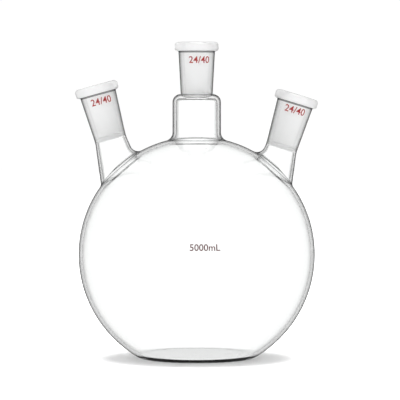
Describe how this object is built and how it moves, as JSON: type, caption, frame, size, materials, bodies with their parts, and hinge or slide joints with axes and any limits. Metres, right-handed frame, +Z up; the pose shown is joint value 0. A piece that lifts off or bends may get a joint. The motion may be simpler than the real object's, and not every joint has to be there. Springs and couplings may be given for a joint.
{
  "type": "multi-neck laboratory flask",
  "caption": "Clear glass spherical laboratory flask on a flattened base, with an upright neck, tilted side necks and a beaded ground taper joint on each neck.",
  "frame": {"origin": "centre of the flat underside of the base, on the bulb's axis", "axes": "+Z up along the centre neck's axis; the side necks lie in the XZ plane, the left one towards -X and the right one towards +X"},
  "size_m": [0.2286, 0.223, 0.2985],
  "materials": {
    "clear_glass": "clear, fire-polished",
    "ground_joint_glass": "clear outside, finely ground in the bore"
  },
  "bodies": {
    "root": {"bulb": "clear_glass", "centre_neck": "clear_glass", "centre_joint": "ground_joint_glass", "left_neck": "clear_glass", "left_joint": "ground_joint_glass", "right_neck": "clear_glass", "right_joint": "ground_joint_glass"}
  },
  "joints": []
}
